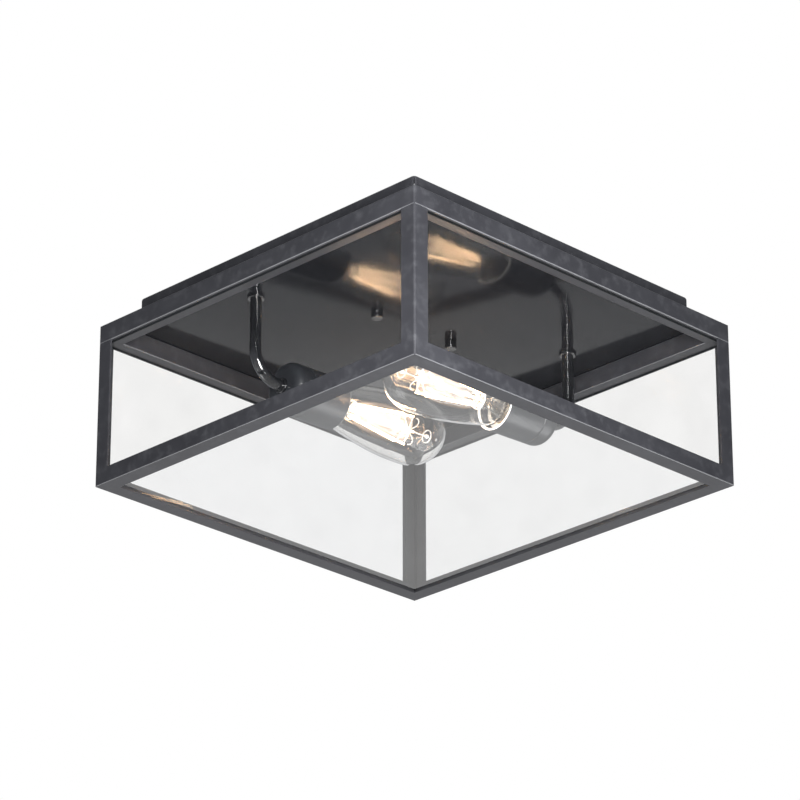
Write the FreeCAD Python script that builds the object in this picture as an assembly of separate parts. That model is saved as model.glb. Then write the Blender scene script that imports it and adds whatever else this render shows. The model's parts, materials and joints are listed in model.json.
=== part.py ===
import FreeCAD, Part
import math
import os

# Square flush-mount porch ceiling lantern: black steel cage with clear panes, ceiling plate,
# canopy skirt and two horizontal lamps. Millimetres, +Z up. The origin is the centre of the
# ceiling face, on top of the mounting bracket; the lantern hangs below it.
# The front is -Y. Lamp a hangs from the back left and points right; lamp b is lamp a
# turned half a turn about Z.

V = FreeCAD.Vector
X_AXIS = V(1, 0, 0)
Y_AXIS = V(0, 1, 0)
Z_AXIS = V(0, 0, 1)
CENTRE = V(0, 0, 0)
DIAGONAL = math.sqrt(0.5)      # sine and cosine of 45 degrees

# ---- overall sizes ----
width = 381.0                 # outer width of the square cage
canopy_height = 24.4          # ceiling to the top of the ceiling plate
plate_inset = 3.0             # outer face of the cage to the ceiling plate's edge
ledge = 24.0                  # outer face of the cage to the canopy skirt
cage_height = 148.9           # top face of the cage to its underside

# ---- sheet metal ----
plate_t = 1.2
skirt_t = 1.0
skirt_flange = 10.0           # width of the skirt's inward flanges
skirt_corner_r = 4.0
skirt_edge_r = 2.4            # bend along the skirt's upper edge
skirt_seam = 0.6              # open seam where the folded strip meets itself
plate_corner_r = 2.0

# ---- cage ----
leg = 15.0                    # width of a post leg, of a rail and of the glass ledge
angle_t = 1.8                 # thickness of the angle sections
edge_r = 2.0                  # outer corner of posts and rails
bottom_rail_h = 14.6
bottom_edge_r = 1.0
top_rail_h = 17.0
tube_wall = 1.5
tube_corner_r = 1.2
tube_inner_r = 0.5
cage_seat_gap = 0.3           # cage to ceiling plate

# ---- glass ----
glass_t = 3.0
seal_t = 0.6
seal_w = 8.0
glass_side_gap = 0.4          # pane edge to its neighbour
glass_top_gap = 0.3

# ---- bracket, studs and cap nuts ----
bracket_t = 2.0
bracket_arm_l = 108.0
bracket_arm_w = 22.0
bracket_corner_r = 3.0
box_slot_spacing = 79.4       # between slot centres, takes screws 69.9 to 88.9 apart
box_slot_l = 14.3
box_slot_r = 2.4
stud_spacing = 88.9
stud_r = 2.05
thread_fit = 0.1              # radial, plain bore round a plain shaft
stud_tip_chamfer = 0.6
stud_hole_gap = 0.5           # radial, stud in the ceiling plate
nut_crown = 0.03              # chamfer of a nut's corners, as a share of its width across flats
stud_nut_af = 7.9
stud_nut_h = 3.2
washer_r = 5.5
washer_t = 0.8
washer_bore_gap = 0.4
cap_nut_r = 5.15
cap_nut_h = 6.6
cap_nut_bore = 5.2
cap_nut_edge_r = 0.9
seat_gap = 0.3                # between pieces that come apart
ground_screw_x = 22.0
ground_screw_r = 2.05
ground_head_af = 7.9
ground_head_h = 3.4

# ---- cage thumb screws ----
thumb_inset = 9.0             # screw axis to the cage's outer face
thumb_r = 4.5
thumb_h = 2.4                 # low enough to stay out of sight from below
thumb_flutes = 14
thumb_flute_r = 0.5
thumb_base_h = 0.6            # plain part of the head under the flutes
thumb_shank_r = 2.0
thumb_shank_l = 9.0           # below the ceiling plate
thumb_hole_gap = 0.3

# ---- lamp arm ----
arm_inset = 30.5              # arm axis to the outer face of the canopy skirt
arm_y = 52.5                  # arm axis to the middle of the lantern
turn_in = 3.4                 # degrees the lamp axis turns towards the middle
lamp_drop = 73.9              # underside of the ceiling plate to the lamp axis
arm_r = 5.0
arm_bore_r = 3.6
bend_r = 26.5
arm_thread_l = 8.5            # above the ceiling plate
arm_end = 44.0                # arm axis to the arm's end inside the lampholder
arm_fit = 0.1
collar_r = 7.5
collar_h = 2.8
collar_edge_r = 1.1
arm_nut_af = 14.0
arm_nut_h = 3.6

# ---- lamp cup, distances along the lamp axis from the arm axis ----
cup_back = 29.5
cup_front = 86.3
cup_r = 22.3
cup_wall = 1.0
cup_back_r = 8.0
cup_groove = 18.0             # from the cup's back to its groove
cup_groove_half = 1.1         # half the groove's width
cup_groove_depth = 0.7
cup_lip_r = 1.1               # rolled lip round the mouth
ring_r = 7.0
ring_t = 2.4
ring_edge_r = 0.8
cup_nut_af = 14.0
cup_nut_h = 4.0

# ---- lampholder ----
holder_back = 37.0
holder_front = 78.6
holder_r = 19.4
holder_edge_r = 1.5
holder_floor = 52.6           # floor of the lamp cavity
shell_r = 13.4                # inside radius of the screw shell
shell_wall = 0.5
shell_back = 58.2
shell_clearance = 0.1
tongue_w = 7.0
tongue_t = 0.5
tongue_reach = 10.0
tongue_rise = 2.6

# ---- bulb ----
bulb_tip = 204.4
bulb_r = 30.0                 # largest radius, at the centre of the round end
bulb_wall = 0.8
bulb_back = 55.6              # centre contact
contact_r = 4.8
contact_t = 1.4
contact_edge_r = 0.7
insulator_t = 2.4
insulator_step = 0.6          # insulator beyond the contact's rim
base_r = 13.1
base_inset = 1.5              # insulator's wide end inside the base's outer radius
base_edge_r = 1.0
base_wall = 0.5
base_front = 80.0
neck_r = 12.4
neck_back = 71.4
neck_ease = 1.0               # length of the bend where the neck starts to widen
body_shape = ((14.0, 29.8), (36.0, 28.2), (56.0, 25.2), (80.0, 20.0), (88.0, 17.2), (89.8, 15.9))
# body_shape: distance behind the centre of the round end, radius of the glass there
stem_back = 72.4              # flared foot of the glass mount
stem_flare_r = 11.2
stem_wall = 1.0
stem_r = 3.2
stem_foot_l = 1.5             # straight rim of the foot
stem_taper = 4.0              # from the end of the flare to the plain stem
stem_taper_r = 4.7
stem_neck = 96.0
stem_top = 112.0
wire_root = 104.0             # where the supports leave the stem
rod_r = 1.5
rod_tip = 170.0
bead_r = 3.0
filament_count = 6
filament_r = 0.9
filament_back = 108.0
filament_front = 166.0
filament_back_ring = 6.5
filament_front_ring = 14.5
wire_r = 0.4

lamps = ("a", "b")
sides = ("front", "right", "back", "left")
corners = ("front_left", "front_right", "back_right", "back_left")

# ---- levels and places worked out from the sizes above ----
half = width / 2.0
canopy_width = width - 2 * ledge
arm_x = canopy_width / 2.0 - arm_inset
plate_top = -canopy_height
plate_under = plate_top - plate_t
cage_top = plate_under - cage_seat_gap
cage_bottom = cage_top - cage_height
opening_top = cage_top - top_rail_h
opening_bottom = cage_bottom + bottom_rail_h
pane_bottom = cage_bottom + angle_t
bottom_pane_top = pane_bottom + glass_t
pane_face = half - angle_t - seal_t
screw_line = half - thumb_inset
lamp_z = plate_under - lamp_drop
stud_x = stud_spacing / 2.0
bulb_centre = bulb_tip - bulb_r


# ---- shared shapes ----
def rounded_square(size, corner_r, low, high):
    """A square prism about the Z axis with rounded upright corners."""
    box = Part.makeBox(size, size, high - low, V(-size / 2.0, -size / 2.0, low))
    upright = [e for e in box.Edges if abs(e.Length - (high - low)) < 1e-6 and is_upright(e)]
    return box.makeFillet(corner_r, upright)


def is_upright(edge):
    first, last = edge.Vertexes[0].Point, edge.Vertexes[-1].Point
    return abs(first.x - last.x) < 1e-6 and abs(first.y - last.y) < 1e-6


def disc(radius, low, high, x=0.0, y=0.0):
    """An upright cylinder between two levels."""
    return Part.makeCylinder(radius, high - low, V(x, y, low))


def rod(radius, start, end):
    """A cylinder along the lamp axis, which is X in the lamp's own frame."""
    return Part.makeCylinder(radius, end - start, V(start, 0, 0), X_AXIS)


def bar(radius, start, end):
    """A round bar from one point to another."""
    way = end - start
    return Part.makeCylinder(radius, way.Length, start, way)


def hexagon(across_flats, low, high, bore_r=0.0):
    """An upright hexagon nut or head."""
    reach = across_flats / math.sqrt(3.0)
    turns = [math.radians(60 * i) for i in range(7)]
    outline = [V(reach * math.cos(a), reach * math.sin(a), low) for a in turns]
    nut = Part.Face(Part.makePolygon(outline)).extrude(V(0, 0, high - low))
    chamfer = across_flats * nut_crown
    crown = disc(reach - chamfer, low, high)
    crown = crown.makeChamfer(chamfer, [e for e in crown.Edges if not is_seam(e)])
    nut = nut.common(crown)
    return nut.cut(disc(bore_r, low, high)) if bore_r else nut


def is_seam(edge):
    return isinstance(edge.Curve, Part.Line)


def ring(outer_r, bore_r, low, high, edge=0.0):
    """An upright ring, with its lower outer edge rounded if asked."""
    body = disc(outer_r, low, high)
    if edge:
        body = body.makeFillet(edge, rims_at(body, "z", low))
    return body.cut(disc(bore_r, low, high))


def rims_at(shape, axis, level):
    """The round edges of a shape that lie at one level along an axis."""
    found = []
    for edge in shape.Edges:
        box = edge.BoundBox
        span = (box.XMin, box.XMax) if axis == "x" else (box.ZMin, box.ZMax)
        if abs(span[0] - level) < 1e-4 and abs(span[1] - level) < 1e-4:
            found.append(edge)
    return found


def turned(points):
    """A solid turned about the lamp axis from (distance, radius) corners."""
    outline = [V(t, 0, r) for t, r in points]
    face = Part.Face(Part.makePolygon(outline + outline[:1]))
    return face.revolve(CENTRE, X_AXIS, 360)


def spun(start, steps):
    """A solid turned about the lamp axis from a closed outline of (distance, radius) points.

    A step is the next point, or a pair of points: an arc through the first to the second.
    """
    edges = []
    here = start
    for step in list(steps) + [start]:
        if isinstance(step[0], tuple):
            through, there = step
            arc = Part.Arc(V(here[0], 0, here[1]), V(through[0], 0, through[1]),
                           V(there[0], 0, there[1]))
            edges.append(arc.toShape())
        else:
            there = step
            edges.append(Part.makeLine(V(here[0], 0, here[1]), V(there[0], 0, there[1])))
        here = there
    return Part.Face(Part.Wire(edges)).revolve(CENTRE, X_AXIS, 360)


def quarter_turned(shape, turns):
    copy = shape.copy()
    copy.rotate(CENTRE, Z_AXIS, 90 * turns)
    return copy


def at_both_studs(shape):
    """Two copies on the stud axes, as one group of solids."""
    copies = []
    for x in (-stud_x, stud_x):
        copy = shape.copy()
        copy.translate(V(x, 0, 0))
        copies.append(copy)
    return copies


# ---- canopy and ceiling plate ----
def canopy_skirt():
    """Folded strip with inward flanges against the ceiling and on the plate."""
    outer = rounded_square(canopy_width, skirt_corner_r, plate_top, 0)
    outer = outer.makeFillet(skirt_edge_r, outline_edges(outer, 0))
    inner = rounded_square(canopy_width - 2 * skirt_t, skirt_corner_r - skirt_t,
                           plate_top + skirt_t, -skirt_t)
    way_in = rounded_square(canopy_width - 2 * skirt_flange, skirt_corner_r, plate_top, 0)
    skirt = outer.cut(inner).cut(way_in)
    corner = canopy_width / 2.0 - skirt_corner_r
    slit = Part.makeBox(skirt_corner_r * 2, skirt_seam, canopy_height - 2 * skirt_edge_r,
                        V(skirt_t, -skirt_seam / 2.0, plate_top + skirt_edge_r))
    slit.rotate(CENTRE, Z_AXIS, 225)
    slit.translate(V(-corner, -corner, 0))
    return skirt.cut(slit)


def outline_edges(shape, level):
    return [e for e in shape.Edges
            if abs(e.BoundBox.ZMin - level) < 1e-4 and abs(e.BoundBox.ZMax - level) < 1e-4]


def ceiling_plate():
    """Flat plate that carries the arms; the cage closes against its underside."""
    plate = rounded_square(width - 2 * plate_inset, plate_corner_r, plate_under, plate_top)
    for x in (-stud_x, stud_x):
        plate = plate.cut(disc(stud_r + stud_hole_gap, plate_under, plate_top, x))
    for sign in (-1, 1):
        plate = plate.cut(disc(arm_r + arm_fit, plate_under, plate_top,
                               sign * arm_x, -sign * arm_y))
    for turns in range(4):
        hole = disc(thumb_shank_r + thumb_hole_gap, plate_under, plate_top, 0, -screw_line)
        plate = plate.cut(quarter_turned(hole, turns))
    return plate


def cage_thumb_screws():
    """Four fluted screws that hold the cage, on the ledge outside the skirt."""
    head = disc(thumb_r, plate_top, plate_top + thumb_h)
    for i in range(thumb_flutes):
        angle = 2 * math.pi * i / thumb_flutes
        flute = disc(thumb_flute_r, plate_top + thumb_base_h, plate_top + thumb_h,
                     thumb_r * math.cos(angle), thumb_r * math.sin(angle))
        head = head.cut(flute)
    shank = disc(thumb_shank_r, plate_under - thumb_shank_l, plate_top)
    screw = head.fuse(shank)
    screw.translate(V(0, -screw_line, 0))
    return [quarter_turned(screw, turns) for turns in range(4)]


# ---- bracket, studs and cap nuts ----
def slot(length, radius, low, high, y):
    """A slot along Y with round ends."""
    reach = length / 2.0 - radius
    middle = Part.makeBox(2 * radius, 2 * reach, high - low, V(-radius, y - reach, low))
    ends = [disc(radius, low, high, 0, y + reach), disc(radius, low, high, 0, y - reach)]
    return middle.fuse(ends).removeSplitter()


def mounting_bracket():
    """Stamped cross: one pair of arms takes the outlet-box screws, the other the studs."""
    def arm(length, across):
        strip = Part.makeBox(length, across, bracket_t,
                             V(-length / 2.0, -across / 2.0, -bracket_t))
        return strip.makeFillet(bracket_corner_r, [e for e in strip.Edges if is_upright(e)])
    cross = arm(bracket_arm_l, bracket_arm_w).fuse(arm(bracket_arm_w, bracket_arm_l))
    cross = cross.removeSplitter()
    for x in (-stud_x, stud_x):
        cross = cross.cut(disc(stud_r + thread_fit, -bracket_t, 0, x))
    for sign in (-1, 1):
        y = sign * box_slot_spacing / 2.0
        cross = cross.cut(slot(box_slot_l, box_slot_r, -bracket_t, 0, y))
    return cross.cut(disc(ground_screw_r + thread_fit, -bracket_t, 0, ground_screw_x))


def stud():
    low = plate_under - 2 * seat_gap - washer_t - cap_nut_bore + seat_gap
    body = disc(stud_r, low, -seat_gap)
    return body.makeChamfer(stud_tip_chamfer, rims_at(body, "z", low))


def stud_nut():
    return hexagon(stud_nut_af, -bracket_t - stud_nut_h, -bracket_t, stud_r + thread_fit)


def ground_screw():
    head = hexagon(ground_head_af, -bracket_t - ground_head_h, -bracket_t)
    screw = head.fuse(disc(ground_screw_r, -bracket_t, -seat_gap))
    screw.translate(V(ground_screw_x, 0, 0))
    return screw


def cap_nut_washer():
    top = plate_under - seat_gap
    return ring(washer_r, stud_r + washer_bore_gap, top - washer_t, top)


def cap_nut():
    """Short round cap nut, closed below."""
    top = plate_under - 2 * seat_gap - washer_t
    low = top - cap_nut_h
    body = disc(cap_nut_r, low, top)
    body = body.makeFillet(cap_nut_edge_r, rims_at(body, "z", low))
    return body.cut(disc(stud_r + thread_fit, top - cap_nut_bore, top))


# ---- cage ----
def mitred(section, depth):
    """Cut a bar along the front side to 45 degree ends that meet its neighbours."""
    low, high = section.BoundBox.ZMin, section.BoundBox.ZMax
    plan = [V(-half, -half, low), V(half, -half, low),
            V(half - depth, -half + depth, low), V(-half + depth, -half + depth, low)]
    prism = Part.Face(Part.makePolygon(plan + plan[:1])).extrude(V(0, 0, high - low))
    return section.common(prism).common(rounded_square(width, edge_r, low, high))


def top_rail():
    """Rounded box section, open inside, with a hole for its thumb screw."""
    outer = Part.makeBox(width, leg, top_rail_h, V(-half, -half, opening_top))
    outer = outer.makeFillet(tube_corner_r, long_edges(outer, width))
    inner = Part.makeBox(width, leg - 2 * tube_wall, top_rail_h - 2 * tube_wall,
                         V(-half, -half + tube_wall, opening_top + tube_wall))
    inner = inner.makeFillet(tube_inner_r, long_edges(inner, width))
    rail = mitred(outer.cut(inner), leg)
    hole = disc(thumb_shank_r + thumb_hole_gap, cage_top - tube_wall, cage_top, 0, -screw_line)
    return rail.cut(hole)


def long_edges(box, length):
    return [e for e in box.Edges if abs(e.Length - length) < 1e-6]


def bottom_rail():
    """Angle section: an upright leg outside and a ledge for the bottom pane."""
    upright = Part.makeBox(width, angle_t, bottom_rail_h, V(-half, -half, cage_bottom))
    ledge = Part.makeBox(width, leg, angle_t, V(-half, -half, cage_bottom))
    rail = upright.fuse(ledge).removeSplitter()
    outer_edge = [e for e in long_edges(rail, width)
                  if abs(e.CenterOfMass.y + half) < 1e-6
                  and abs(e.CenterOfMass.z - cage_bottom) < 1e-6]
    return mitred(rail.makeFillet(bottom_edge_r, outer_edge), leg)


def post():
    """Angle section at the front left corner, between the bottom and top rails."""
    height = opening_top - opening_bottom
    outer = Part.makeBox(leg, leg, height, V(-half, -half, opening_bottom))
    outside = [e for e in outer.Edges
               if is_upright(e) and e.CenterOfMass.x + half < 1e-6 and e.CenterOfMass.y + half < 1e-6]
    outer = outer.makeFillet(edge_r, outside)
    inside = Part.makeBox(leg, leg, height, V(-half + angle_t, -half + angle_t, opening_bottom))
    return outer.cut(inside)


def bottom_pane():
    size = 2 * (half - angle_t - glass_side_gap)
    return Part.makeBox(size, size, glass_t, V(-size / 2.0, -size / 2.0, pane_bottom))


def side_pane(between):
    """A front pane; the left and right ones are narrower and fit between front and back."""
    reach = pane_face - (glass_t + glass_side_gap if between else 0.0)
    height = opening_top - glass_top_gap - bottom_pane_top
    return Part.makeBox(2 * reach, glass_t, height, V(-reach, -pane_face, bottom_pane_top))


def pane_seals():
    """Soft strips between the panes and the post legs, two to a side."""
    height = opening_top - opening_bottom
    strips = []
    for turns in range(4):
        for sign in (-1, 1):
            middle = sign * (half - angle_t - seal_t - glass_t - seal_w / 2.0)
            strip = Part.makeBox(seal_w, seal_t, height,
                                 V(middle - seal_w / 2.0, -pane_face - seal_t, opening_bottom))
            strips.append(quarter_turned(strip, turns))
    return strips


# ---- lamp arm and cup, in the lamp's own frame ----
# X runs along the lamp from the arm's axis, Z is up and the origin is on both axes.
def arm_run(radius, top, end):
    """Upright, quarter bend and level run of one radius."""
    upright = Part.makeCylinder(radius, top - bend_r, V(0, 0, bend_r))
    section = Part.Face(Part.Wire(Part.makeCircle(radius, V(0, 0, bend_r), Z_AXIS)))
    bend = section.revolve(V(bend_r, 0, bend_r), Y_AXIS, -90)
    level = rod(radius, bend_r, end)
    return upright.fuse([bend, level]).removeSplitter()


def arm():
    top = plate_top + arm_thread_l - lamp_z
    return arm_run(arm_r, top, arm_end).cut(arm_run(arm_bore_r, top, arm_end))


def arm_collar():
    high = plate_under - lamp_z
    return ring(collar_r, arm_r + arm_fit, high - collar_h, high, collar_edge_r)


def arm_nut():
    low = plate_top - lamp_z
    return hexagon(arm_nut_af, low, low + arm_nut_h, arm_r + arm_fit)


def lamp_cup():
    """Spun cup with a rounded back, a groove and a rolled lip."""
    inside_r = cup_r - cup_wall
    inside_back = cup_back + cup_wall
    bend = cup_back + cup_back_r
    bend_line = cup_r - cup_back_r
    outer_bend = (bend - cup_back_r * DIAGONAL, bend_line + cup_back_r * DIAGONAL)
    inner_bend_r = cup_back_r - cup_wall
    inner_bend = (bend - inner_bend_r * DIAGONAL, bend_line + inner_bend_r * DIAGONAL)
    groove = cup_back + cup_groove
    lip_end = cup_front - math.sqrt(cup_lip_r ** 2 - (cup_lip_r - cup_wall) ** 2)
    return spun((cup_back, arm_r + arm_fit), [
        (cup_back, bend_line),
        (outer_bend, (bend, cup_r)),
        (groove - cup_groove_half, cup_r),
        ((groove, cup_r - cup_groove_depth), (groove + cup_groove_half, cup_r)),
        (cup_front, cup_r),
        ((cup_front + cup_lip_r, cup_r - cup_lip_r), (lip_end, inside_r)),
        (bend, inside_r),
        (inner_bend, (inside_back, bend_line)),
        (inside_back, arm_r + arm_fit)])


def cup_ring():
    """Small bright ring where the arm enters the cup."""
    body = rod(ring_r, cup_back - ring_t, cup_back)
    body = body.makeFillet(ring_edge_r, rims_at(body, "x", cup_back - ring_t))
    return body.cut(rod(arm_r + 2 * arm_fit, cup_back - ring_t, cup_back))


def cup_nut():
    nut = hexagon(cup_nut_af, 0, cup_nut_h, arm_r + arm_fit)
    nut.rotate(CENTRE, Y_AXIS, 90)
    nut.translate(V(cup_back + cup_wall, 0, 0))
    return nut


# ---- lampholder, in the lamp's own frame ----
def lampholder():
    """Porcelain body, screwed on the arm's end, with a round cavity for the lamp."""
    body = rod(holder_r, holder_back, holder_front)
    body = body.makeFillet(holder_edge_r, rims_at(body, "x", holder_back)
                           + rims_at(body, "x", holder_front))
    body = body.cut(rod(arm_r + arm_fit, holder_back, arm_end + arm_fit))
    return body.cut(rod(shell_r + shell_wall + shell_clearance, holder_floor, holder_front))


def screw_shell():
    outer = rod(shell_r + shell_wall, shell_back, holder_front - shell_wall)
    return outer.cut(rod(shell_r, shell_back, holder_front - shell_wall))


def centre_tongue():
    """Bent strip that presses on the lamp's centre contact."""
    foot = Part.makeBox(tongue_t, tongue_w, tongue_reach,
                        V(holder_floor, -tongue_w / 2.0, -tongue_reach))
    rise = Part.makeBox(tongue_rise, tongue_w, tongue_t, V(holder_floor, -tongue_w / 2.0, 0))
    pad = Part.makeBox(tongue_t, tongue_w, tongue_reach / 2.0,
                       V(holder_floor + tongue_rise - tongue_t, -tongue_w / 2.0,
                         -tongue_reach / 4.0))
    return foot.fuse([rise, pad]).removeSplitter()


# ---- bulb, in the lamp's own frame ----
def bulb_contact():
    body = rod(contact_r, bulb_back, bulb_back + contact_t)
    return body.makeFillet(contact_edge_r, rims_at(body, "x", bulb_back))


def bulb_insulator():
    start = bulb_back + contact_t
    end = start + insulator_t
    return turned([(start, 0), (start, contact_r + insulator_step), (end, base_r - base_inset),
                   (end, 0)])


def bulb_base():
    """Thin threaded cap of the bulb, drawn plain."""
    start = bulb_back + contact_t + insulator_t
    outer = rod(base_r, start, base_front)
    outer = outer.makeFillet(base_edge_r, rims_at(outer, "x", start))
    return outer.cut(rod(base_r - base_wall, start + base_wall, base_front))


def eased(start, heading, end):
    """An arc that leaves start along heading and reaches end, and its heading there."""
    chord = end - start
    along = V(chord).normalize()
    cosine = heading.dot(along)
    aside = heading - along * cosine
    middle = start + chord * 0.5 + aside * (chord.Length / 2.0 / (1.0 + cosine))
    return Part.Arc(start, middle, end).toShape(), along * (2.0 * cosine) - heading


def bulb_outline(inset):
    """Edges of the glass from the tip back to its neck, moved inwards by inset."""
    round_r = bulb_r - inset
    tip = V(bulb_tip - inset, 0, 0)
    here = V(bulb_centre, 0, round_r)
    bulge = V(bulb_centre + round_r * DIAGONAL, 0, round_r * DIAGONAL)
    edges = [Part.Arc(tip, bulge, here).toShape()]
    heading = -X_AXIS
    for behind, radius in body_shape:
        there = V(bulb_centre - behind, 0, radius - inset)
        edge, heading = eased(here, heading, there)
        edges.append(edge)
        here = there
    corner = here + heading * ((neck_r - inset - here.z) / heading.z)
    shoulder = corner - heading * neck_ease
    flare = corner - X_AXIS * neck_ease
    neck = V(neck_back, 0, neck_r - inset)
    edges += [Part.makeLine(here, shoulder), eased(shoulder, heading, flare)[0],
              Part.makeLine(flare, neck)]
    return tip, neck, edges


def bulb_envelope():
    outer_tip, outer_neck, outer = bulb_outline(0.0)
    inner_tip, inner_neck, inner = bulb_outline(bulb_wall)
    mouth = Part.makeLine(outer_neck, inner_neck)
    centre = Part.makeLine(inner_tip, outer_tip)
    wire = Part.Wire(outer + [mouth] + inner[::-1] + [centre])
    return Part.Face(wire).revolve(CENTRE, X_AXIS, 360)


def bulb_stem():
    """Glass mount: a hollow flared foot, a solid pinch, a thin rod and its end bead."""
    rim = stem_back + stem_foot_l
    taper = stem_neck - stem_taper
    foot = turned([(stem_back, stem_flare_r - stem_wall), (stem_back, stem_flare_r),
                   (rim, stem_flare_r), (taper, stem_taper_r), (stem_neck, stem_r),
                   (stem_top, stem_r), (stem_top, 0), (stem_neck, 0),
                   (taper, stem_taper_r - stem_wall), (rim, stem_flare_r - stem_wall)])
    bead = Part.makeSphere(bead_r, V(rod_tip, 0, 0))
    return foot.fuse([rod(rod_r, stem_top, rod_tip), bead]).removeSplitter()


def around(radius, distance, index):
    """The place of a filament's end: an even ring about the lamp axis."""
    angle = 2 * math.pi * (index + 0.5) / filament_count
    return V(distance, radius * math.cos(angle), radius * math.sin(angle))


def filament_ends(index):
    return (around(filament_back_ring, filament_back, index),
            around(filament_front_ring, filament_front, index))


def bulb_filaments():
    return [bar(filament_r, *filament_ends(i)) for i in range(filament_count)]


def bulb_supports():
    """Wires from the stem and from the rod's end bead to both ends of each filament."""
    stem = bulb_stem()
    wires = []
    for i in range(filament_count):
        back, front = filament_ends(i)
        filament = bar(filament_r, back, front)
        for wire in (bar(wire_r, around(stem_r - wire_r, wire_root, i), back),
                     bar(wire_r, around(bead_r - wire_r, rod_tip, i), front)):
            wires += wire.cut([stem, filament]).Solids
    return wires


# ---- writing ----
def place_lamp(shape, lamp):
    """Move a shape from the lamp's own frame to lamp a or lamp b."""
    placed = shape.copy()
    placed.rotate(CENTRE, Z_AXIS, -turn_in)
    placed.translate(V(-arm_x, arm_y, lamp_z))
    if lamp == "b":
        placed.rotate(CENTRE, Z_AXIS, 180)
    return placed


def write(node, shape):
    """Save one node; a list becomes one group of separate solids."""
    if isinstance(shape, list):
        shape = Part.makeCompound(shape)
    shape.exportStep("parts/%s.step" % node)


def write_lamp(name, shape):
    """Save one node for each lamp."""
    for lamp in lamps:
        parts = shape if isinstance(shape, list) else [shape]
        placed = [place_lamp(piece, lamp) for piece in parts]
        write(name % lamp, placed if len(placed) > 1 else placed[0])


def write_lamp_fasteners(node, shape):
    """Save both lamps' copies of one fastener in one node."""
    write(node, [place_lamp(shape, lamp) for lamp in lamps])


def build_canopy():
    write("canopy_skirt", canopy_skirt())
    write("ceiling_plate", ceiling_plate())
    write("cage_thumb_screws", cage_thumb_screws())
    write("mounting_bracket", mounting_bracket())
    write("bracket_studs", at_both_studs(stud()))
    write("stud_nuts", at_both_studs(stud_nut()))
    write("ground_screw", ground_screw())
    for lamp, washer, nut in zip(lamps, at_both_studs(cap_nut_washer()), at_both_studs(cap_nut())):
        write("cap_nut_washer_%s" % lamp, washer)
        write("cap_nut_%s" % lamp, nut)


def build_cage():
    for turns, side in enumerate(sides):
        write("top_rail_%s" % side, quarter_turned(top_rail(), turns))
        write("bottom_rail_%s" % side, quarter_turned(bottom_rail(), turns))
        write("side_pane_%s" % side, quarter_turned(side_pane(side in ("left", "right")), turns))
    for turns, corner in enumerate(corners):
        write("post_%s" % corner, quarter_turned(post(), turns))
    write("bottom_pane", bottom_pane())
    write("pane_seals", pane_seals())


def build_lamps():
    write_lamp("arm_%s", arm())
    write_lamp("arm_collar_%s", arm_collar())
    write_lamp_fasteners("arm_nuts", arm_nut())
    write_lamp("lamp_cup_%s", lamp_cup())
    write_lamp("cup_ring_%s", cup_ring())
    write_lamp_fasteners("cup_nuts", cup_nut())
    write_lamp("lampholder_%s", lampholder())
    write_lamp("screw_shell_%s", screw_shell())
    write_lamp("centre_tongue_%s", centre_tongue())
    write_lamp("bulb_%s_contact", bulb_contact())
    write_lamp("bulb_%s_insulator", bulb_insulator())
    write_lamp("bulb_%s_base", bulb_base())
    write_lamp("bulb_%s_envelope", bulb_envelope())
    write_lamp("bulb_%s_stem", bulb_stem())
    write_lamp("bulb_%s_supports", bulb_supports())
    write_lamp("bulb_%s_filaments", bulb_filaments())


os.makedirs("parts", exist_ok=True)
build_canopy()
build_cage()
build_lamps()
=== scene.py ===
import bpy
import bmesh
import json
import math
from mathutils import Matrix, Vector


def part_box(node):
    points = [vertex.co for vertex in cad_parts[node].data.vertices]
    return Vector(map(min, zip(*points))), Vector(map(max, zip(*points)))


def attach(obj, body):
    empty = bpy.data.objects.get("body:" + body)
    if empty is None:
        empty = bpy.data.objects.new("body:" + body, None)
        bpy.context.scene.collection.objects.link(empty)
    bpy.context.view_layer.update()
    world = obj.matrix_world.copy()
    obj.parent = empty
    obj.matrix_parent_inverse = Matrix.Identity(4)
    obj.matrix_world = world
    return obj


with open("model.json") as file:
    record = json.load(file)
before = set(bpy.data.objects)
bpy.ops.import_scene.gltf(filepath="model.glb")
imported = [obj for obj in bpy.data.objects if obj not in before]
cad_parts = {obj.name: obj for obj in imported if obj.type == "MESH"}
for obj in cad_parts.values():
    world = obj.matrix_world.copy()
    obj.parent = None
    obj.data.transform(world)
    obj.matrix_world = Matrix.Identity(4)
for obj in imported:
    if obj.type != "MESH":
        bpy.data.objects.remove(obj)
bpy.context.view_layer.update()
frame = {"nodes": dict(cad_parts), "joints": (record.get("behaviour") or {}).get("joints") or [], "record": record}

nodes = frame["nodes"]
scene = bpy.context.scene
slot_of = {s["node"]: s["material_slot"] for s in frame["record"]["subparts"]}

# ---- sizes read from the frame, in metres ----
plate_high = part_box("ceiling_plate")[1]
cage_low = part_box("bottom_rail_left")[0]
width = -2.0 * cage_low.x
cage_bottom = cage_low.z
cage_height = plate_high.z - cage_bottom

# ---- camera: solved from the photograph's cage corners, lengths in cage widths ----
image_px = 800
focal_px = 4063.4
camera_pitch = math.radians(23.811)
camera_heading = math.radians(45.140)
camera_roll = math.radians(-0.0648)
camera_distance = 9.05308
camera_right = -0.03208
camera_up = 0.010485
sensor_mm = 36.0

# ---- room ----
floor_z = -2.4
floor_size = 14.0

# ---- surface details ----
MM = 0.001
steel_bevel = 0.25 * MM     # bevel on the steel sections
inner_face = 1.6 * MM     # cup's widest part to just inside its wall
lip_length = 3.0 * MM     # pale part of the cup's mouth, with a painted glow
lip_outer = 0.15 * MM     # dark outer part of the rolled lip
dish_depth = 0.25         # rise of the plate's shading normal, at one metre from its middle
pane_ior = 1.5
cut_edge_facing = 0.5     # a pane's face turned further than this from its front is a cut edge

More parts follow.
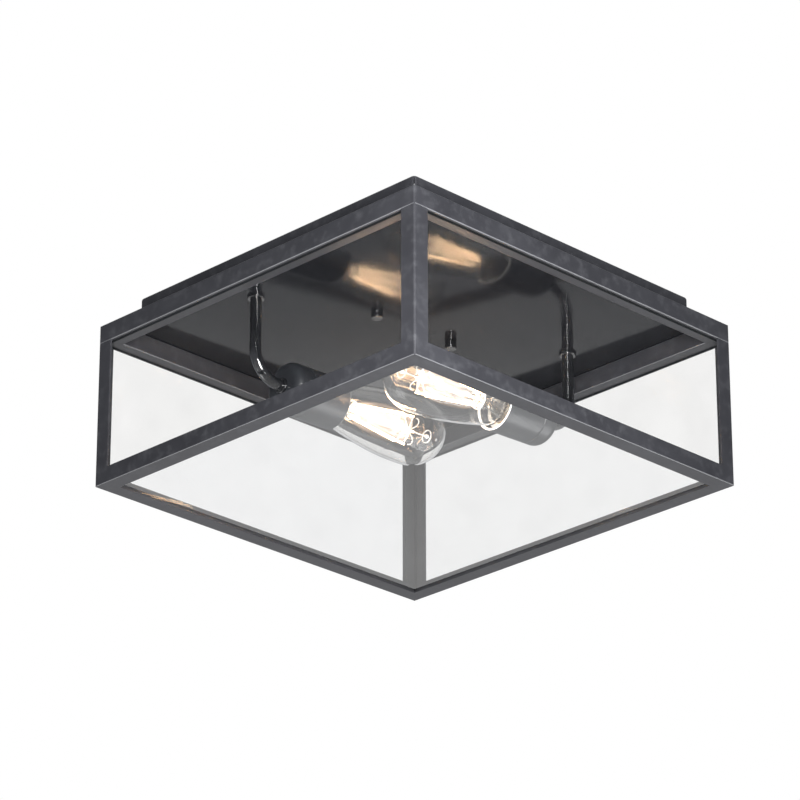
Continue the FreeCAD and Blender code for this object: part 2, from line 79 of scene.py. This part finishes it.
# ---- bulbs' fine parts ----
thread_pitch = 3.629 * MM
thread_wire_r = 0.2 * MM
thread_margin = 3.0 * MM  # plain metal before and after the thread
thread_steps = 40         # points to a turn
hook_count = 6
hook_rise = 5.5 * MM      # of a hook's bow beyond the rod's bead
hook_wire_r = 0.4 * MM
hook_steps = 12
hook_foot = 2.0 * MM      # hook's inner end, from the axis
bead_gap = 4.0 * MM       # filaments' front ends to the rod's bead
rod_end_reach = 22.0 * MM
rod_end_r = 5.6 * MM
rod_wire_r = 0.5 * MM
crown_back = 2.0 * MM     # ring behind the filaments' back ends
crown_outside = 1.0 * MM
crown_wire_r = 0.7 * MM
ring_steps = 32
glow_strength = 1.2
glow_falloff = 1.9
GLOW_CORE = (1.0, 0.88, 0.76)

UP = Vector((0.0, 0.0, 1.0))


# ---- the two lamps ----
class Lamp:
    """The axis of one lamp, measured from the bulb's centre contact out through its tip."""

    def __init__(self, letter):
        travel = "bulb_%s_unscrew_travel" % letter
        self.letter = letter
        self.body = "bulb_" + letter
        self.ahead = Vector(next(j for j in frame["joints"] if j["name"] == travel)["axis"])
        self.ahead.normalize()
        low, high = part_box("bulb_%s_contact" % letter)
        self.start = (low + high) / 2.0
        self.side = UP.cross(self.ahead)

    def at(self, along, radius=0.0, angle=0.0):
        out = self.side * math.cos(angle) + UP * math.sin(angle)
        return self.start + self.ahead * along + out * radius

    def measure(self, node):
        """Distance along the axis and radius from it, for each vertex of a node."""
        found = []
        for vertex in nodes[node].data.vertices:
            offset = vertex.co - self.start
            along = offset.dot(self.ahead)
            found.append((along, (offset - self.ahead * along).length))
        return found


lamps = [Lamp(letter) for letter in "ab"]


# ---- node helpers ----
class Paint:
    """A procedural material being built: its node tree and its surface shader."""

    def __init__(self, name):
        self.material = bpy.data.materials.new(name)
        self.material.use_nodes = True
        self.tree = self.material.node_tree
        self.shader = self.tree.nodes["Principled BSDF"]
        self.output = self.tree.nodes["Material Output"]
        self.place = self.add("ShaderNodeTexCoord").outputs["Object"]

    def add(self, kind, **values):
        node = self.tree.nodes.new(kind)
        for key, value in values.items():
            setattr(node, key, value)
        return node

    def link(self, source, target):
        self.tree.links.new(source, target)

    def set(self, **values):
        for key, value in values.items():
            self.shader.inputs[key.replace("_", " ")].default_value = value

    def stretched(self, x, y, z):
        mapping = self.add("ShaderNodeMapping")
        mapping.inputs["Scale"].default_value = (x, y, z)
        self.link(self.place, mapping.inputs["Vector"])
        return mapping.outputs["Vector"]

    def noise(self, scale, detail=3.0, roughness=0.5, place=None):
        node = self.add("ShaderNodeTexNoise")
        node.inputs["Scale"].default_value = scale
        node.inputs["Detail"].default_value = detail
        node.inputs["Roughness"].default_value = roughness
        self.link(place or self.place, node.inputs["Vector"])
        return node.outputs["Fac"]

    def ramp(self, value, stops):
        node = self.add("ShaderNodeValToRGB")
        node.color_ramp.elements[0].position = stops[0][0]
        node.color_ramp.elements[0].color = grey_or_colour(stops[0][1])
        node.color_ramp.elements[1].position = stops[-1][0]
        node.color_ramp.elements[1].color = grey_or_colour(stops[-1][1])
        for position, colour in stops[1:-1]:
            node.color_ramp.elements.new(position).color = grey_or_colour(colour)
        self.link(value, node.inputs["Fac"])
        return node.outputs["Color"]

    def mix(self, factor, first, second):
        node = self.add("ShaderNodeMix", data_type="RGBA")
        self.feed(factor, node.inputs["Factor"])
        self.feed(first, node.inputs[6])
        self.feed(second, node.inputs[7])
        return node.outputs[2]

    def feed(self, value, target):
        if isinstance(value, bpy.types.NodeSocket):
            self.link(value, target)
        elif isinstance(value, (int, float)):
            target.default_value = value
        else:
            target.default_value = grey_or_colour(value)

    def bump(self, height, depth, strength=1.0, under=None):
        node = self.add("ShaderNodeBump")
        node.inputs["Distance"].default_value = depth
        node.inputs["Strength"].default_value = strength
        self.link(height, node.inputs["Height"])
        if under is not None:
            self.link(under, node.inputs["Normal"])
        return node.outputs["Normal"]

    def slope(self):
        """0 on upright faces, 1 on level ones, between on the rounded edges that join them."""
        split = self.add("ShaderNodeSeparateXYZ")
        self.link(self.add("ShaderNodeNewGeometry").outputs["Normal"], split.inputs[0])
        size = self.add("ShaderNodeMath", operation="ABSOLUTE")
        self.link(split.outputs["Z"], size.inputs[0])
        return size.outputs[0]

    def along(self, start, direction):
        """Distance along a line, from its start, of the point being shaded."""
        offset = self.add("ShaderNodeVectorMath", operation="SUBTRACT")
        self.link(self.place, offset.inputs[0])
        offset.inputs[1].default_value = start
        distance = self.add("ShaderNodeVectorMath", operation="DOT_PRODUCT")
        self.link(offset.outputs["Vector"], distance.inputs[0])
        distance.inputs[1].default_value = direction
        return distance.outputs["Value"]

    def math(self, operation, first, second=0.0):
        node = self.add("ShaderNodeMath", operation=operation)
        self.feed(first, node.inputs[0])
        self.feed(second, node.inputs[1])
        return node.outputs[0]


def grey_or_colour(value):
    if isinstance(value, (int, float)):
        return (value, value, value, 1.0)
    return tuple(value) + (1.0,)


# ---- materials ----
def powder_coat():
    """Satin blue-black coat on hand-finished steel: mottled, with a fine peel, a painted highlight along its
    rounded edges and a painted shade line beside it.
    """
    p = Paint("cage_black")
    broad = p.noise(14.0, 4.0, 0.6)
    rubbed = p.noise(90.0, 5.0, 0.65)
    tone = p.ramp(broad, [(0.3, (0.017, 0.0172, 0.0205)), (0.7, (0.027, 0.0275, 0.032))])
    tone = p.mix(p.ramp(rubbed, [(0.5, 0.0), (0.72, 0.6)]), tone, (0.046, 0.047, 0.053))
    slope = p.slope()
    # painted highlight: the rounded edges between upright and level faces are made lighter
    tone = p.mix(p.ramp(slope, [(0.3, 0.0), (0.55, 0.75), (0.78, 0.75), (0.9, 0.0)]),
                 tone, (0.11, 0.112, 0.12))
    # painted shade: a dark line on the near-level part of the rounded edges, beside the painted highlight
    tone = p.mix(p.ramp(slope, [(0.9, 0.0), (0.965, 0.6), (0.995, 0.0)]),
                 tone, (0.008, 0.008, 0.01))
    p.link(tone, p.shader.inputs["Base Color"])
    p.link(p.ramp(rubbed, [(0.3, 0.34), (0.7, 0.5)]), p.shader.inputs["Roughness"])
    peel = p.bump(p.noise(1100.0, 2.0), 0.00006, 0.5)
    p.link(p.bump(p.noise(35.0, 3.0), 0.0006, 0.25, peel), p.shader.inputs["Normal"])
    return p.material


def gloss_enamel():
    """Glossy black plate, smeared, and slightly curved along the photograph's line of view."""
    p = Paint("plate_black")
    smear = p.noise(7.0, 5.0, 0.6, p.stretched(1.0, 2.6, 1.0))
    dust = p.noise(900.0, 2.0, 0.5)
    tone = p.ramp(smear, [(0.3, (0.006, 0.0064, 0.0078)), (0.7, (0.011, 0.0117, 0.0137))])
    tone = p.mix(p.ramp(dust, [(0.68, 0.0), (0.8, 0.25)]), tone, (0.04, 0.04, 0.042))
    p.link(tone, p.shader.inputs["Base Color"])
    p.link(p.ramp(smear, [(0.25, 0.085), (0.75, 0.135)]), p.shader.inputs["Roughness"])
    p.set(IOR=1.3, Specular_Tint=(0.86, 0.92, 1.0, 1.0))
    across = p.along((0.0, 0.0, 0.0), (math.cos(camera_heading), math.sin(camera_heading), 0.0))
    dish = p.bump(p.math("MULTIPLY", p.math("MULTIPLY", across, across), -1.0), dish_depth)
    p.link(p.bump(p.noise(12.0, 2.0), 0.001, 0.05, dish), p.shader.inputs["Normal"])
    return p.material


def gloss_arm():
    p = Paint("arm_black")
    mark = p.noise(60.0, 4.0, 0.6)
    p.link(p.ramp(mark, [(0.3, (0.003, 0.0033, 0.004)), (0.75, (0.01, 0.0105, 0.012))]),
           p.shader.inputs["Base Color"])
    p.link(p.ramp(mark, [(0.3, 0.06), (0.8, 0.16)]), p.shader.inputs["Roughness"])
    p.set(Coat_Weight=0.7, Coat_Roughness=0.03)
    p.link(p.bump(p.noise(240.0, 2.0), 0.00008, 0.4), p.shader.inputs["Normal"])
    return p.material


def satin_cup(lamp):
    """Satin black cup: its rolled lip is bare, pale and given a painted glow, its inside a painted warm-lit tan
    with a painted glow.
    """
    p = Paint("cup_" + lamp.letter)
    cup = lamp.measure("lamp_cup_" + lamp.letter)
    mouth = max(along for along, radius in cup)
    wall = max(radius for along, radius in cup)
    mark = p.noise(45.0, 4.0, 0.6)
    tone = p.ramp(mark, [(0.3, (0.012, 0.0135, 0.0165)), (0.7, (0.021, 0.023, 0.027))])
    along = p.along(tuple(lamp.start), tuple(lamp.ahead))
    outward = p.add("ShaderNodeVectorMath", operation="SUBTRACT")
    p.link(p.place, outward.inputs[0])
    outward.inputs[1].default_value = lamp.start
    distance = p.add("ShaderNodeVectorMath", operation="LENGTH")
    p.link(outward.outputs["Vector"], distance.inputs[0])
    squared = p.math("SUBTRACT", p.math("POWER", distance.outputs["Value"], 2.0),
                     p.math("POWER", along, 2.0))
    inside = p.math("MULTIPLY", p.math("LESS_THAN", squared, (wall - inner_face) ** 2),
                    p.math("GREATER_THAN", along, 0.0))
    past = p.math("MULTIPLY", p.math("GREATER_THAN", along, mouth - lip_length),
                  p.math("LESS_THAN", squared, (wall - lip_outer) ** 2))
    # painted light: the inside is a warm-lit tan; the lip is pale bare metal
    tone = p.mix(inside, tone, (0.6, 0.46, 0.35))
    tone = p.mix(past, tone, (0.9, 0.89, 0.87))
    p.link(tone, p.shader.inputs["Base Color"])
    # painted glow: the inside and the lip get emission of their own, though neither is a lamp
    lit = p.mix(inside, (0.0, 0.0, 0.0), (0.3, 0.235, 0.18))
    p.link(p.mix(past, lit, (0.8, 0.76, 0.71)), p.shader.inputs["Emission Color"])
    p.set(Emission_Strength=1.0)
    p.link(p.ramp(mark, [(0.3, 0.3), (0.7, 0.42)]), p.shader.inputs["Roughness"])
    p.link(p.bump(p.noise(900.0, 2.0), 0.00005, 0.5), p.shader.inputs["Normal"])
    return p.material


def let_light_through(p, tint):
    """Glass that casts no solid shadow: shadow and diffuse rays pass straight through."""
    path = p.add("ShaderNodeLightPath")
    clear = p.add("ShaderNodeBsdfTransparent")
    clear.inputs["Color"].default_value = grey_or_colour(tint)
    either = p.add("ShaderNodeMath", operation="MAXIMUM")
    p.link(path.outputs["Is Shadow Ray"], either.inputs[0])
    p.link(path.outputs["Is Diffuse Ray"], either.inputs[1])
    mix = p.add("ShaderNodeMixShader")
    p.link(either.outputs[0], mix.inputs["Fac"])
    p.link(p.shader.outputs[0], mix.inputs[1])
    p.link(clear.outputs[0], mix.inputs[2])
    p.link(mix.outputs[0], p.output.inputs["Surface"])


def darken_cut_edges(p, facing):
    """The ground edges of a pane, bedded on black strips, are dark. Its two faces stay clear."""
    normal = p.add("ShaderNodeVectorMath", operation="DOT_PRODUCT")
    p.link(p.add("ShaderNodeNewGeometry").outputs["True Normal"], normal.inputs[0])
    normal.inputs[1].default_value = facing
    size = p.add("ShaderNodeMath", operation="ABSOLUTE")
    p.link(normal.outputs["Value"], size.inputs[0])
    edge = p.add("ShaderNodeMath", operation="LESS_THAN")
    p.link(size.outputs[0], edge.inputs[0])
    edge.inputs[1].default_value = cut_edge_facing
    strip = p.add("ShaderNodeBsdfDiffuse")
    strip.inputs["Color"].default_value = (0.03, 0.033, 0.036, 1.0)
    mix = p.add("ShaderNodeMixShader")
    p.link(edge.outputs[0], mix.inputs["Fac"])
    p.link(p.output.inputs["Surface"].links[0].from_socket, mix.inputs[1])
    p.link(strip.outputs[0], mix.inputs[2])
    p.link(mix.outputs[0], p.output.inputs["Surface"])


def clear_glass(name, tint, ior, smear_scale):
    """Blown glass with a faint tint and a trace of smear."""
    p = Paint(name)
    smear = p.noise(smear_scale, 5.0, 0.65)
    p.link(p.ramp(smear, [(0.35, tint), (0.8, tuple(c * 0.985 for c in tint))]),
           p.shader.inputs["Base Color"])
    p.set(Transmission_Weight=1.0, IOR=ior, Roughness=0.0)
    let_light_through(p, tint)
    return p.material


def sheet_glass(name, tint, mirror, facing):
    """A flat pane: light goes straight on, and its outer face mirrors for both faces."""
    p = Paint(name)
    smear = p.noise(22.0, 5.0, 0.65)
    clear = p.add("ShaderNodeBsdfTransparent")
    p.link(p.ramp(smear, [(0.3, tint), (0.75, tuple(c * 0.975 for c in tint))]),
           clear.inputs["Color"])
    gloss = p.add("ShaderNodeBsdfGlossy")
    gloss.inputs["Roughness"].default_value = 0.0
    p.link(p.ramp(smear, [(0.3, 0.93), (0.7, 1.0)]), gloss.inputs["Color"])
    fresnel = p.add("ShaderNodeFresnel")
    fresnel.inputs["IOR"].default_value = pane_ior
    back = p.add("ShaderNodeNewGeometry").outputs["Backfacing"]
    share = p.math("MULTIPLY", p.math("MULTIPLY", fresnel.outputs[0], mirror),
                   p.math("SUBTRACT", 1.0, back))
    mix = p.add("ShaderNodeMixShader")
    p.link(p.math("MINIMUM", share, 1.0), mix.inputs["Fac"])
    p.link(clear.outputs[0], mix.inputs[1])
    p.link(gloss.outputs[0], mix.inputs[2])
    p.link(mix.outputs[0], p.output.inputs["Surface"])
    darken_cut_edges(p, facing)
    return p.material


def soft_glow(lamp):
    """Light scattered round the filaments: strongest through the middle, streaked along them."""
    p = Paint("glow_" + lamp.letter)
    weight = p.add("ShaderNodeLayerWeight")
    weight.inputs["Blend"].default_value = 0.5
    depth = p.math("POWER", p.math("SUBTRACT", 1.0, weight.outputs["Facing"]), glow_falloff)
    along = p.along(tuple(lamp.start), tuple(lamp.ahead))
    path = p.add("ShaderNodeVectorMath", operation="SCALE")
    path.inputs[0].default_value = tuple(lamp.ahead)
    p.link(p.math("MULTIPLY", along, 0.96), path.inputs["Scale"])
    squeezed = p.add("ShaderNodeVectorMath", operation="SUBTRACT")
    p.link(p.place, squeezed.inputs[0])
    p.link(path.outputs["Vector"], squeezed.inputs[1])
    streaks = p.ramp(p.noise(300.0, 2.0, 0.6, squeezed.outputs["Vector"]),
                     [(0.38, 0.2), (0.62, 1.5)])
    light = p.add("ShaderNodeEmission")
    p.link(p.ramp(depth, [(0.0, (1.0, 0.6, 0.34)), (0.8, GLOW_CORE)]), light.inputs["Color"])
    rays = p.add("ShaderNodeLightPath")
    seen = p.math("MAXIMUM", rays.outputs["Is Camera Ray"], rays.outputs["Is Transmission Ray"])
    p.link(p.math("MULTIPLY", p.math("MULTIPLY", depth, streaks),
                  p.math("MULTIPLY", seen, glow_strength)), light.inputs["Strength"])
    clear = p.add("ShaderNodeBsdfTransparent")
    both = p.add("ShaderNodeAddShader")
    p.link(light.outputs[0], both.inputs[0])
    p.link(clear.outputs[0], both.inputs[1])
    p.link(both.outputs[0], p.output.inputs["Surface"])
    p.material.cycles.emission_sampling = "NONE"
    return p.material


def mottled(name, dark, light, scale, rough, metallic=0.0):
    """A plain material with its colour, gloss and surface varied by noise."""
    p = Paint(name)
    mark = p.noise(scale, 4.0, 0.6)
    p.link(p.ramp(mark, [(0.3, dark), (0.7, light)]), p.shader.inputs["Base Color"])
    p.link(p.ramp(mark, [(0.3, rough[0]), (0.7, rough[1])]), p.shader.inputs["Roughness"])
    p.set(Metallic=metallic)
    p.link(p.bump(p.noise(400.0, 2.0), 0.0001, 0.4), p.shader.inputs["Normal"])
    return p.material


def painted_glow_wire():
    """Pale wires and glass beads with a painted glow, in place of the light of the filaments beside them that they
    would scatter.
    """
    p = Paint("support_wire")
    mark = p.noise(500.0, 3.0)
    p.link(p.ramp(mark, [(0.3, (0.75, 0.74, 0.72)), (0.7, (0.88, 0.87, 0.85))]),
           p.shader.inputs["Base Color"])
    # painted glow: emission on the wires and beads, which are no lamp
    p.link(p.ramp(mark, [(0.4, (1.0, 0.84, 0.7)), (0.6, (1.0, 0.97, 0.93))]),
           p.shader.inputs["Emission Color"])
    p.link(p.ramp(mark, [(0.35, 0.15), (0.65, 0.9)]), p.shader.inputs["Emission Strength"])
    p.set(Roughness=0.3)
    p.material.cycles.emission_sampling = "NONE"
    return p.material


def glowing_filament():
    """Lit phosphor coat, a little uneven along its length."""
    p = Paint("filament")
    uneven = p.noise(300.0, 2.0)
    p.link(p.ramp(uneven, [(0.3, (1.0, 0.62, 0.24)), (0.7, (1.0, 0.7, 0.34))]),
           p.shader.inputs["Base Color"])
    p.link(p.ramp(uneven, [(0.3, (1.0, 0.62, 0.34)), (0.7, (1.0, 0.71, 0.44))]),
           p.shader.inputs["Emission Color"])
    p.set(Emission_Strength=34.0, Roughness=0.5)
    return p.material


materials = {
    "cage_black": powder_coat(),
    "plate_black": gloss_enamel(),
    "arm_black": gloss_arm(),
    "cup_black": satin_cup(lamps[0]),
    "cup_b": satin_cup(lamps[1]),
    "zinc_steel": mottled("zinc_steel", (0.42, 0.43, 0.42), (0.6, 0.6, 0.57), 80.0,
                          (0.25, 0.42), 1.0),
    "ground_green": mottled("ground_green", (0.02, 0.16, 0.04), (0.04, 0.22, 0.07), 120.0,
                            (0.25, 0.4)),
    "porcelain": mottled("porcelain", (0.74, 0.73, 0.69), (0.82, 0.81, 0.78), 60.0,
                         (0.08, 0.18)),
    "brass": mottled("brass", (0.62, 0.43, 0.17), (0.76, 0.56, 0.27), 120.0, (0.18, 0.34), 1.0),
    "pane_glass": sheet_glass("pane_glass", (0.994, 0.996, 0.998), 1.6, (0.0, 0.0, 1.0)),
    "pane_front": sheet_glass("pane_front", (1.0, 1.0, 0.999), 0.75, (0.0, 1.0, 0.0)),
    "pane_left": sheet_glass("pane_left", (0.998, 0.997, 0.994), 0.75, (1.0, 0.0, 0.0)),
    "seal_black": mottled("seal_black", (0.02, 0.021, 0.023), (0.035, 0.036, 0.04), 200.0,
                          (0.4, 0.6)),
    "solder": mottled("solder", (0.5, 0.5, 0.5), (0.62, 0.62, 0.6), 400.0, (0.2, 0.4), 1.0),
    "insulator_black": mottled("insulator_black", (0.01, 0.01, 0.012), (0.02, 0.02, 0.022),
                               200.0, (0.06, 0.15)),
    "bulb_cap_metal": mottled("bulb_cap_metal", (0.55, 0.52, 0.46), (0.7, 0.66, 0.58), 160.0,
                              (0.2, 0.36), 1.0),
    "bulb_glass": clear_glass("bulb_glass", (0.995, 0.99, 0.98), 1.45, 40.0),
    "stem_glass": clear_glass("stem_glass", (0.98, 0.98, 0.975), 1.45, 90.0),
    "support_wire": painted_glow_wire(),
    "filament": glowing_filament(),
}


# nodes whose look differs from that of their slot
NODE_LOOKS = {"lamp_cup_b": "cup_b",
              "side_pane_front": "pane_front", "side_pane_back": "pane_front",
              "side_pane_left": "pane_left", "side_pane_right": "pane_left"}


def dress_frame():
    """Give every CAD node its material, and the steel sections their small bevelled edges, which take the coat's
    painted highlight.
    """
    for name, node in nodes.items():
        slot = NODE_LOOKS.get(name, slot_of[name])
        node.data.materials.clear()
        node.data.materials.append(materials[slot])
        if slot == "cage_black" and name != "cage_thumb_screws":
            soften_edges(node, steel_bevel)


def soften_edges(node, radius):
    bevel = node.modifiers.new("steel_bevels", "BEVEL")
    bevel.width = radius
    bevel.segments = 2
    bevel.limit_method = "ANGLE"
    bevel.angle_limit = math.radians(50)
    bevel.harden_normals = True


# ---- fine parts of the bulbs ----
def new_piece(name, shape, material, body):
    mesh = bpy.data.meshes.new(name)
    for face in shape.faces:
        face.smooth = True
    shape.to_mesh(mesh)
    shape.free()
    piece = bpy.data.objects.new(name, mesh)
    scene.collection.objects.link(piece)
    mesh.materials.append(material)
    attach(piece, body)


def add_tube(shape, points, radius, sides=8, closed=False):
    """A round wire along a list of points, its ends left capped unless it closes."""
    rings = []
    last = len(points) - 1
    for index, point in enumerate(points):
        before = points[index - 1] if index or closed else point
        after = points[(index + 1) % len(points)] if index < last or closed else point
        heading = (after - before).normalized()
        across = heading.cross(UP)
        if across.length < 0.2:
            across = heading.cross(Vector((1.0, 0.0, 0.0)))
        across.normalize()
        above = across.cross(heading)
        rings.append([shape.verts.new(point + (across * math.cos(turn) + above * math.sin(turn))
                                      * radius)
                      for turn in (2.0 * math.pi * k / sides for k in range(sides))])
    pairs = list(zip(rings, rings[1:]))
    if closed:
        pairs.append((rings[-1], rings[0]))
    else:
        shape.faces.new(rings[0])
        shape.faces.new(list(reversed(rings[-1])))
    for first, second in pairs:
        for k in range(sides):
            n = (k + 1) % sides
            shape.faces.new((first[k], second[k], second[n], first[n]))


def add_spun(shape, lamp, outline, sides=48):
    """A closed form round a lamp's axis, from (distance along, radius) pairs."""
    rings = [[shape.verts.new(lamp.at(along, radius, 2.0 * math.pi * k / sides))
              for k in range(sides)] for along, radius in outline]
    for first, second in zip(rings, rings[1:]):
        for k in range(sides):
            n = (k + 1) % sides
            shape.faces.new((first[k], first[n], second[n], second[k]))
    shape.faces.new(list(reversed(rings[0])))
    shape.faces.new(rings[-1])


def filament_reach(lamp):
    """Where the filaments start and end along the axis, and their radii from it there."""
    found = lamp.measure("bulb_%s_filaments" % lamp.letter)
    back = min(found)
    front = max(found)
    return back[0], front[0], back[1], front[1]


def add_glow(lamp):
    """A closed shell round the filaments that carries their scattered light."""
    back, front, back_r, front_r = filament_reach(lamp)
    shape = bmesh.new()
    outline = [(back - 8.0 * MM, 0.3 * MM), (back - 4.0 * MM, back_r * 0.5),
               (back + 3.0 * MM, back_r + 2.0 * MM), (back + 14.0 * MM, back_r + 5.5 * MM),
               (front - 24.0 * MM, front_r + 1.5 * MM), (front - 12.0 * MM, front_r + 1.5 * MM),
               (front - 2.0 * MM, front_r), (front + 5.0 * MM, front_r * 0.45),
               (front + 9.0 * MM, 0.3 * MM)]
    add_spun(shape, lamp, eased(outline))
    new_piece("bulb_%s_glow" % lamp.letter, shape, soft_glow(lamp), lamp.body)


def eased(outline, steps=4):
    """The outline with its corners rounded by a Catmull-Rom curve through its points."""
    ends = [outline[0]] + outline + [outline[-1]]
    found = []
    for index in range(1, len(ends) - 2):
        a, b, c, d = ends[index - 1:index + 3]
        for step in range(steps):
            t = step / steps
            found.append(tuple(0.5 * (2 * b[i] + (c[i] - a[i]) * t
                                      + (2 * a[i] - 5 * b[i] + 4 * c[i] - d[i]) * t ** 2
                                      + (3 * b[i] - a[i] - 3 * c[i] + d[i]) * t ** 3)
                               for i in (0, 1)))
    return [(along, max(radius, 0.1 * MM)) for along, radius in found + [outline[-1]]]


def turns_of(count):
    """Angles that share out a full turn."""
    return [2.0 * math.pi * k / count for k in range(count)]


def add_hooks(lamp):
    """Spring hooks from the rod's bead out to the filaments' front ends."""
    front, front_r = filament_reach(lamp)[1::2]
    bead = front + bead_gap
    sweep = [math.pi * k / hook_steps for k in range(hook_steps + 1)]
    middle = (front_r + hook_foot) / 2.0
    reach = (front_r - hook_foot) / 2.0
    shape = bmesh.new()
    for index in range(hook_count):
        angle = 2.0 * math.pi * (index + 0.5) / hook_count
        add_tube(shape, [lamp.at(bead + hook_rise * math.sin(t), middle - reach * math.cos(t),
                                 angle) for t in sweep], hook_wire_r, 6)
    new_piece("bulb_%s_hooks" % lamp.letter, shape, materials["support_wire"], lamp.body)


def add_rod_end(lamp):
    """The rod's last length with its bead and ring, and the ring behind the filaments."""
    back, front, back_r, front_r = filament_reach(lamp)
    bead = front + bead_gap
    ring = bead + rod_end_reach
    shape = bmesh.new()
    add_tube(shape, [lamp.at(ring, rod_end_r, turn) for turn in turns_of(ring_steps)],
             rod_wire_r, closed=True)
    add_spun(shape, lamp, [(bead + 2.5 * MM, 0.6 * MM), (ring - 2.0 * MM, 0.6 * MM),
                           (ring - 1.4 * MM, 1.5 * MM), (ring, 1.9 * MM),
                           (ring + 1.4 * MM, 1.5 * MM), (ring + 1.9 * MM, 0.3 * MM)], 20)
    add_tube(shape, [lamp.at(back - crown_back, back_r + crown_outside, turn)
                     for turn in turns_of(ring_steps)], crown_wire_r, closed=True)
    new_piece("bulb_%s_rod_end" % lamp.letter, shape, materials["support_wire"], lamp.body)


def add_threads(lamp):
    """The rolled thread of the bulb's metal base."""
    base = lamp.measure("bulb_%s_base" % lamp.letter)
    radius = max(r for along, r in base)
    start = min(along for along, r in base) + thread_margin
    end = max(along for along, r in base) - thread_margin
    count = int((end - start) / thread_pitch * thread_steps)
    shape = bmesh.new()
    points = [lamp.at(start + thread_pitch * k / thread_steps, radius,
                      2.0 * math.pi * k / thread_steps) for k in range(count)]
    add_tube(shape, points, thread_wire_r, 6)
    new_piece("bulb_%s_threads" % lamp.letter, shape, materials["bulb_cap_metal"], lamp.body)


# ---- camera, light and floor ----
def add_camera():
    side = Vector((math.sin(camera_heading), -math.cos(camera_heading), 0.0))
    look = Vector((math.cos(camera_heading) * math.cos(camera_pitch),
                   math.sin(camera_heading) * math.cos(camera_pitch), math.sin(camera_pitch)))
    up = side.cross(look)
    right = side * math.cos(camera_roll) + up * math.sin(camera_roll)
    upward = up * math.cos(camera_roll) - side * math.sin(camera_roll)
    target = Vector((0.0, 0.0, cage_bottom + cage_height / 2.0))
    place = target + (right * camera_right + upward * camera_up - look * camera_distance) * width
    data = bpy.data.cameras.new("camera")
    data.sensor_fit = "HORIZONTAL"
    data.sensor_width = sensor_mm
    data.lens = focal_px * sensor_mm / image_px
    data.clip_end = 50.0
    camera = bpy.data.objects.new("camera", data)
    axes = Matrix((right, upward, -look)).transposed().to_4x4()
    camera.matrix_world = Matrix.Translation(place) @ axes
    scene.collection.objects.link(camera)
    scene.camera = camera


def keep_off_panes():
    """The flat panes, marked so that no lamp is mirrored in them as a white square."""
    left_out = bpy.data.collections.new("not_lit_by_lamps")
    for name, node in nodes.items():
        if slot_of[name] == "pane_glass":
            left_out.objects.link(node)
    for member in left_out.collection_objects:
        member.light_linking.link_state = "EXCLUDE"
    return left_out


def add_lamp(name, place, aim, size, power, receivers):
    data = bpy.data.lights.new(name, "AREA")
    data.shape = "SQUARE"
    data.size = size
    data.energy = power
    lamp = bpy.data.objects.new(name, data)
    lamp.location = place
    lamp.visible_camera = False
    lamp.visible_transmission = False
    lamp.light_linking.receiver_collection = receivers
    lamp.rotation_euler = (Vector(aim) - Vector(place)).to_track_quat("-Z", "Y").to_euler()
    scene.collection.objects.link(lamp)


def add_world(soft_level, low_level, high_level):
    """White behind everything; a mirror sees white below and a darker ceiling above."""
    world = bpy.data.worlds.new("studio")
    scene.world = world
    world.use_nodes = True
    tree = world.node_tree
    path = tree.nodes.new("ShaderNodeLightPath")

    def backdrop(strength, tint=(1.0, 1.0, 1.0)):
        node = tree.nodes.new("ShaderNodeBackground")
        node.inputs["Color"].default_value = tint + (1.0,)
        if isinstance(strength, bpy.types.NodeSocket):
            tree.links.new(strength, node.inputs["Strength"])
        else:
            node.inputs["Strength"].default_value = strength
        return node.outputs[0]

    def choose(factor, first, second):
        node = tree.nodes.new("ShaderNodeMixShader")
        tree.links.new(factor, node.inputs["Fac"])
        tree.links.new(first, node.inputs[1])
        tree.links.new(second, node.inputs[2])
        return node.outputs[0]

    direction = tree.nodes.new("ShaderNodeTexCoord")
    split = tree.nodes.new("ShaderNodeSeparateXYZ")
    tree.links.new(direction.outputs["Generated"], split.inputs[0])
    ceiling = tree.nodes.new("ShaderNodeMapRange")
    ceiling.inputs["From Min"].default_value = -0.05
    ceiling.inputs["From Max"].default_value = 0.35
    ceiling.inputs["To Min"].default_value = low_level
    ceiling.inputs["To Max"].default_value = high_level
    tree.links.new(split.outputs["Z"], ceiling.inputs["Value"])
    seen = tree.nodes.new("ShaderNodeMath")
    seen.operation = "MAXIMUM"
    tree.links.new(path.outputs["Is Camera Ray"], seen.inputs[0])
    tree.links.new(path.outputs["Is Transmission Ray"], seen.inputs[1])
    surround = choose(path.outputs["Is Glossy Ray"], backdrop(soft_level),
                      backdrop(ceiling.outputs["Result"], (0.93, 0.97, 1.07)))
    tree.links.new(choose(seen.outputs[0], surround, backdrop(1.0)),
                   tree.nodes["World Output"].inputs["Surface"])


def add_floor():
    """Pale floor far below, which keeps the lantern's shadow."""
    mesh = bpy.data.meshes.new("floor")
    shape = bmesh.new()
    bmesh.ops.create_grid(shape, x_segments=8, y_segments=8, size=floor_size / 2.0)
    shape.to_mesh(mesh)
    shape.free()
    floor = bpy.data.objects.new("floor", mesh)
    floor.location = (0.0, 0.0, floor_z)
    scene.collection.objects.link(floor)
    p = Paint("pale_floor")
    p.link(p.ramp(p.noise(3.0), [(0.3, 0.93), (0.7, 0.96)]), p.shader.inputs["Base Color"])
    p.set(Roughness=0.7, Emission_Color=(1.0, 1.0, 1.0, 1.0), Emission_Strength=0.3)
    mesh.materials.append(p.material)


dress_frame()
for lamp in lamps:
    add_glow(lamp)
    add_hooks(lamp)
    add_rod_end(lamp)
    add_threads(lamp)
add_camera()
add_world(0.5, 0.5, 0.12)
receivers = keep_off_panes()
add_lamp("near", (-0.5, -0.64, -0.33), (-0.15, -0.15, -0.1), 0.4, 19.0, receivers)
add_lamp("below_left", (-0.75, 1.1, -1.25), (0.0, 0.0, -0.1), 0.9, 9.0, receivers)
add_lamp("below_right", (1.1, -0.75, -1.25), (0.0, 0.0, -0.1), 0.9, 16.0, receivers)
add_floor()

scene.view_settings.view_transform = "Standard"
